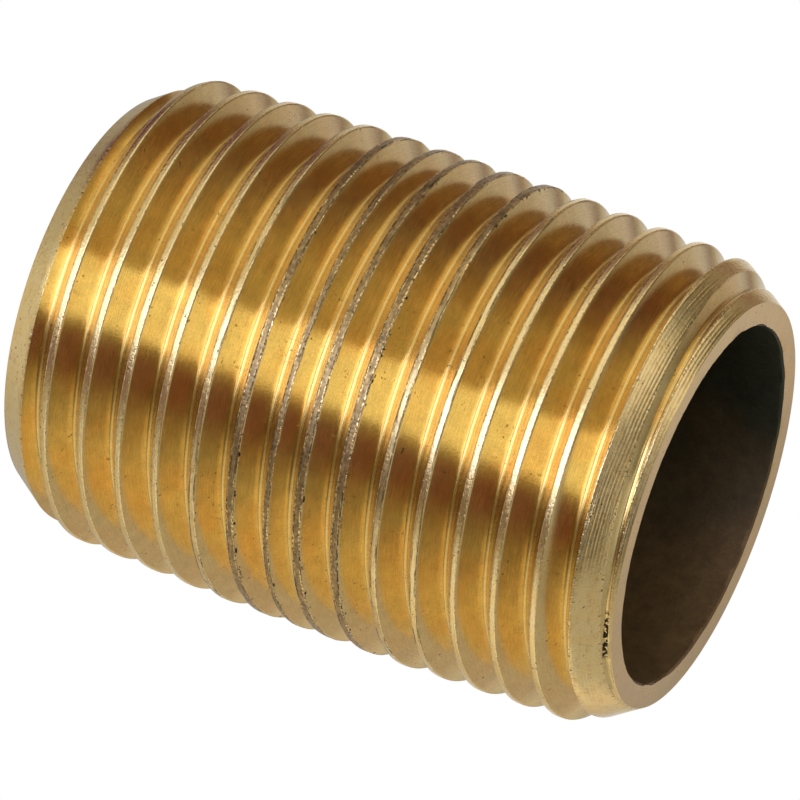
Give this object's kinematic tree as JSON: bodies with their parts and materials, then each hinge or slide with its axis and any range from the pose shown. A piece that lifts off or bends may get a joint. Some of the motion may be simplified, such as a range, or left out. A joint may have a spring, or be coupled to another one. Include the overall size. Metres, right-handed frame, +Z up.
{
  "type": "pipe nipple",
  "caption": "Short brass close nipple: a round tube with tapered pipe thread running from each end to the middle, bevelled ends and a plain through bore, for joining female-threaded fittings.",
  "frame": {"origin": "centre of the lower end face, on the bore's axis: the nipple stands on that end", "axes": "+Z up along the bore's axis, from the lower end to the upper end; -Y is the front"},
  "size_m": [0.0214, 0.0214, 0.0287],
  "materials": {
    "brass": "machined, unpolished"
  },
  "bodies": {
    "root": {"nipple": "brass"}
  },
  "joints": []
}
